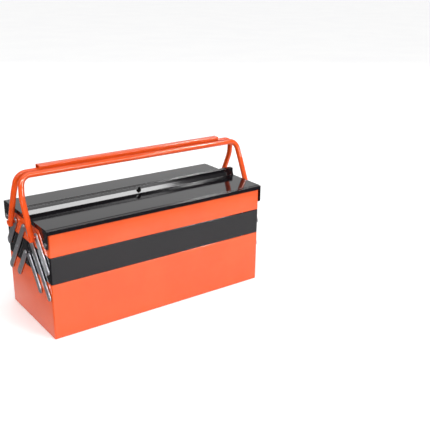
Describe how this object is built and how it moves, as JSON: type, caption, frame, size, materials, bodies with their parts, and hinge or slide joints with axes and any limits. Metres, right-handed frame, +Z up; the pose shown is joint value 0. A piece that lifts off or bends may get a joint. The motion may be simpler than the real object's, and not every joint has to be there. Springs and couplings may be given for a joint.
{
  "type": "cantilever toolbox",
  "caption": "Folded sheet-steel toolbox whose trays swing out to both sides on parallel links, with hinged lids over the top trays and a pair of bail handles that meet in the middle.",
  "frame": {"origin": "middle of the underside of the bottom box, on the surface it stands on", "axes": "+X along the length, front faces -Y, +Z up"},
  "size_m": [0.4624, 0.187, 0.2751],
  "materials": {
    "orange_paint": "gloss orange enamel on folded steel",
    "black_paint": "gloss black enamel on folded steel",
    "zinc_plated_steel": "bright zinc plating"
  },
  "bodies": {
    "base": {"bottom_box": "orange_paint", "front_left_arm_box_rivet": "zinc_plated_steel", "front_left_lower_link_box_rivet": "zinc_plated_steel", "front_right_arm_box_rivet": "zinc_plated_steel", "front_right_lower_link_box_rivet": "zinc_plated_steel", "back_left_arm_box_rivet": "zinc_plated_steel", "back_left_lower_link_box_rivet": "zinc_plated_steel", "back_right_arm_box_rivet": "zinc_plated_steel", "back_right_lower_link_box_rivet": "zinc_plated_steel"},
    "front_long_arms": {"front_left_long_arm": "zinc_plated_steel", "front_right_long_arm": "zinc_plated_steel"},
    "front_lower_links": {"front_left_lower_link": "zinc_plated_steel", "front_right_lower_link": "zinc_plated_steel"},
    "front_upper_links": {"front_left_upper_link": "zinc_plated_steel", "front_right_upper_link": "zinc_plated_steel"},
    "front_mid_tray_body": {"front_mid_tray": "black_paint", "front_left_arm_mid_rivet": "zinc_plated_steel", "front_left_lower_link_mid_rivet": "zinc_plated_steel", "front_left_upper_link_mid_rivet": "zinc_plated_steel", "front_right_arm_mid_rivet": "zinc_plated_steel", "front_right_lower_link_mid_rivet": "zinc_plated_steel", "front_right_upper_link_mid_rivet": "zinc_plated_steel"},
    "front_top_tray_body": {"front_top_tray": "orange_paint", "front_left_arm_top_rivet": "zinc_plated_steel", "front_left_handle_rivet": "orange_paint", "front_left_lid_rivet": "zinc_plated_steel", "front_right_arm_top_rivet": "zinc_plated_steel", "front_right_handle_rivet": "orange_paint", "front_right_lid_rivet": "zinc_plated_steel"},
    "front_lid_body": {"front_lid": "black_paint"},
    "front_handle_body": {"front_handle": "orange_paint"},
    "back_long_arms": {"back_left_long_arm": "zinc_plated_steel", "back_right_long_arm": "zinc_plated_steel"},
    "back_lower_links": {"back_left_lower_link": "zinc_plated_steel", "back_right_lower_link": "zinc_plated_steel"},
    "back_upper_links": {"back_left_upper_link": "zinc_plated_steel", "back_right_upper_link": "zinc_plated_steel"},
    "back_mid_tray_body": {"back_mid_tray": "black_paint", "back_left_arm_mid_rivet": "zinc_plated_steel", "back_left_lower_link_mid_rivet": "zinc_plated_steel", "back_left_upper_link_mid_rivet": "zinc_plated_steel", "back_right_arm_mid_rivet": "zinc_plated_steel", "back_right_lower_link_mid_rivet": "zinc_plated_steel", "back_right_upper_link_mid_rivet": "zinc_plated_steel"},
    "back_top_tray_body": {"back_top_tray": "orange_paint", "back_left_arm_top_rivet": "zinc_plated_steel", "back_left_handle_rivet": "orange_paint", "back_left_lid_rivet": "zinc_plated_steel", "back_right_arm_top_rivet": "zinc_plated_steel", "back_right_handle_rivet": "orange_paint", "back_right_lid_rivet": "zinc_plated_steel"},
    "back_lid_body": {"back_lid": "black_paint"},
    "back_handle_body": {"back_handle": "orange_paint", "back_handle_cover": "orange_paint"}
  },
  "joints": [
    {"name": "front_arm_swing", "type": "hinge", "parent": "base", "child": "front_long_arms", "pos_m": [0, -0.083, 0.0752], "axis": [1, 0, 0], "range_deg": [0, 76]},
    {"name": "front_lower_link_swing", "type": "hinge", "parent": "base", "child": "front_lower_links", "pos_m": [0, -0.04575, 0.0752], "axis": [1, 0, 0], "range_deg": [0, 76]},
    {"name": "front_mid_tray_level", "type": "hinge", "parent": "front_long_arms", "child": "front_mid_tray_body", "pos_m": [0, -0.04575, 0.12255], "axis": [1, 0, 0], "range_deg": [-76, 0]},
    {"name": "front_upper_link_swing", "type": "hinge", "parent": "front_mid_tray_body", "child": "front_upper_links", "pos_m": [0, -0.083, 0.12255], "axis": [1, 0, 0], "range_deg": [0, 76]},
    {"name": "front_top_tray_level", "type": "hinge", "parent": "front_long_arms", "child": "front_top_tray_body", "pos_m": [0, -0.0085, 0.1699], "axis": [1, 0, 0], "range_deg": [-76, 0]},
    {"name": "front_lid_hinge", "type": "hinge", "parent": "front_top_tray_body", "child": "front_lid_body", "pos_m": [0, -0.084, 0.168], "axis": [1, 0, 0], "range_deg": [0, 120]},
    {"name": "front_handle_swing", "type": "hinge", "parent": "front_top_tray_body", "child": "front_handle_body", "pos_m": [0, -0.04575, 0.1699], "axis": [1, 0, 0], "range_deg": [0, 165]},
    {"name": "back_arm_swing", "type": "hinge", "parent": "base", "child": "back_long_arms", "pos_m": [0, 0.083, 0.0752], "axis": [-1, 0, 0], "range_deg": [0, 76]},
    {"name": "back_lower_link_swing", "type": "hinge", "parent": "base", "child": "back_lower_links", "pos_m": [0, 0.04575, 0.0752], "axis": [-1, 0, 0], "range_deg": [0, 76]},
    {"name": "back_mid_tray_level", "type": "hinge", "parent": "back_long_arms", "child": "back_mid_tray_body", "pos_m": [0, 0.04575, 0.12255], "axis": [-1, 0, 0], "range_deg": [-76, 0]},
    {"name": "back_upper_link_swing", "type": "hinge", "parent": "back_mid_tray_body", "child": "back_upper_links", "pos_m": [0, 0.083, 0.12255], "axis": [-1, 0, 0], "range_deg": [0, 76]},
    {"name": "back_top_tray_level", "type": "hinge", "parent": "back_long_arms", "child": "back_top_tray_body", "pos_m": [0, 0.0085, 0.1699], "axis": [-1, 0, 0], "range_deg": [-76, 0]},
    {"name": "back_lid_hinge", "type": "hinge", "parent": "back_top_tray_body", "child": "back_lid_body", "pos_m": [0, 0.084, 0.168], "axis": [-1, 0, 0], "range_deg": [0, 120]},
    {"name": "back_handle_swing", "type": "hinge", "parent": "back_top_tray_body", "child": "back_handle_body", "pos_m": [0, 0.04575, 0.1699], "axis": [-1, 0, 0], "range_deg": [0, 165]}
  ],
  "couplings": [
    {"joint": "front_lower_link_swing", "follows": "front_arm_swing", "ratio": 1},
    {"joint": "front_mid_tray_level", "follows": "front_arm_swing", "ratio": -1},
    {"joint": "front_upper_link_swing", "follows": "front_arm_swing", "ratio": 1},
    {"joint": "front_top_tray_level", "follows": "front_arm_swing", "ratio": -1},
    {"joint": "back_lower_link_swing", "follows": "back_arm_swing", "ratio": 1},
    {"joint": "back_mid_tray_level", "follows": "back_arm_swing", "ratio": -1},
    {"joint": "back_upper_link_swing", "follows": "back_arm_swing", "ratio": 1},
    {"joint": "back_top_tray_level", "follows": "back_arm_swing", "ratio": -1}
  ]
}
